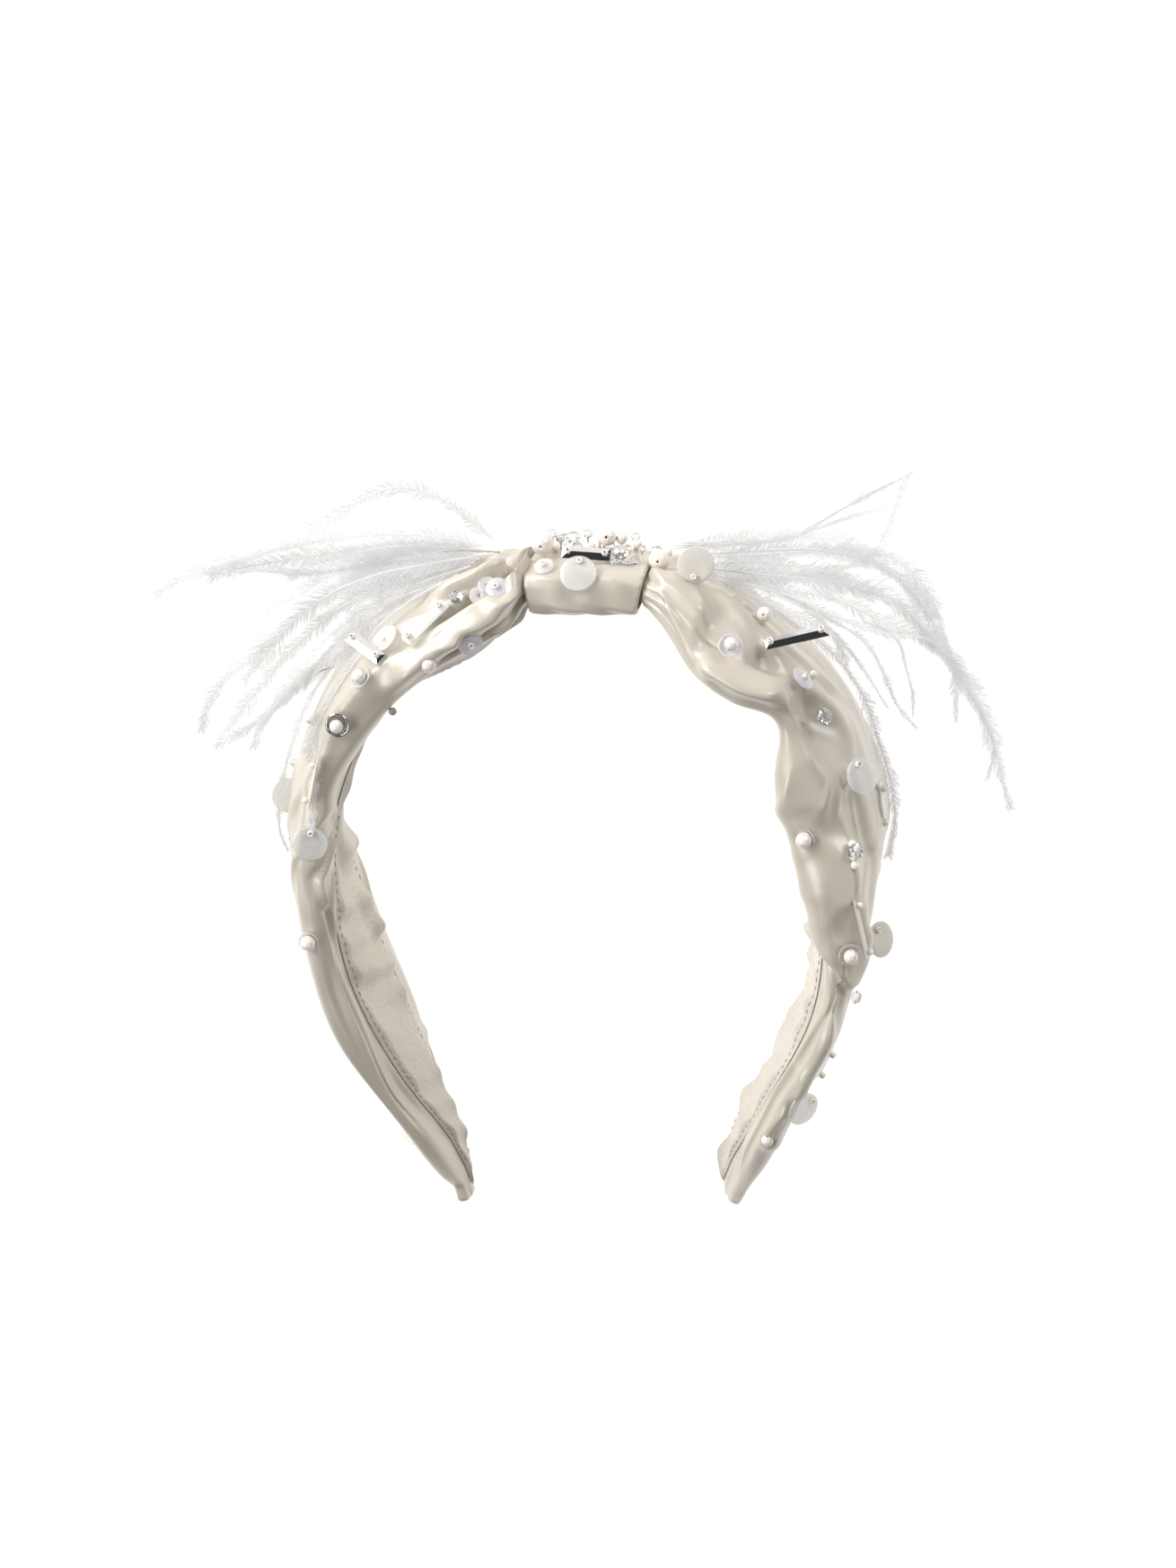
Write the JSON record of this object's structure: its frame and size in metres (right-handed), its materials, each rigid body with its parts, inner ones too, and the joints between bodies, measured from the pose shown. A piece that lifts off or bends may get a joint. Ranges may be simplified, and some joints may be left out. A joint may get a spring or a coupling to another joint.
{
  "type": "feather headband",
  "caption": "Alice headband in loosely pleated ivory satin, drawn in by a crown wrap, with a white wispy plume on each side and sewn paillettes, bars, pearls and crystals.",
  "frame": {"origin": "Middle of the footprint, on the surface that the rear edge lies on.", "axes": "+X across the head to the right of the picture, +Y up the head from the tips to the crown, +Z from the rear edge to the front edge. It lies on its rear edge."},
  "size_m": [0.1924, 0.186, 0.043],
  "materials": {
    "satin": "glossy ivory satin with soft folds",
    "crepe": "matte grainy ivory crepe ribbon",
    "feather": "white wispy feather barbs",
    "milky_sequin": "milky translucent",
    "ivory_sequin": "opaque ivory, satin gloss",
    "clear_sequin": "clear, glossy",
    "lilac_sequin": "clear with a lilac shimmer",
    "mirror_trim": "silvered, mirror bright",
    "pearl": "pearl lustre, warm white",
    "crystal": "cut and polished"
  },
  "bodies": {
    "root": {"satin_cover": "satin", "lining": "crepe", "center_wrap": "satin", "plume_left": "feather", "plume_right": "feather", "paillette_wrap": "milky_sequin", "paillette_crown_right": "ivory_sequin", "paillette_ear_right": "ivory_sequin", "paillette_ear_left": "ivory_sequin", "paillette_temple_left": "clear_sequin", "paillette_tip_left": "clear_sequin", "paillette_tip_right": "milky_sequin", "paillette_cheek_right": "clear_sequin", "paillette_edge_right": "milky_sequin", "sequin_lilac_left_1": "lilac_sequin", "sequin_lilac_left_2": "lilac_sequin", "sequin_lilac_right": "lilac_sequin", "sequin_clear_wrap": "clear_sequin", "mirror_bar_wrap": "mirror_trim", "mirror_bar_right": "mirror_trim", "mirror_bar_left": "mirror_trim", "clear_bar_left": "clear_sequin", "clear_bar_right": "clear_sequin", "ivory_bar_left": "ivory_sequin", "ivory_bar_right": "ivory_sequin", "cup_mirror_left": "mirror_trim", "cup_lilac_right": "lilac_sequin", "cup_clear_right": "clear_sequin", "pearl_temple_left": "pearl", "pearl_cup_right": "pearl", "pearl_ear_right": "pearl", "pearl_crown_left_1": "pearl", "pearl_crown_left_2": "pearl", "pearl_crown_left_3": "pearl", "pearl_ear_left": "pearl", "pearl_wrap_left": "pearl", "pearl_wrap_rear": "pearl", "pearl_wrap_right": "pearl", "pearl_crown_right_1": "pearl", "pearl_cheek_right": "pearl", "pearl_tip_right": "pearl", "crystal_crown_left": "crystal", "crystal_wrap_left": "crystal", "crystal_wrap_right": "crystal", "crystal_crown_right": "crystal", "crystal_cheek_right": "crystal", "crystal_ear_right": "crystal"}
  },
  "joints": []
}
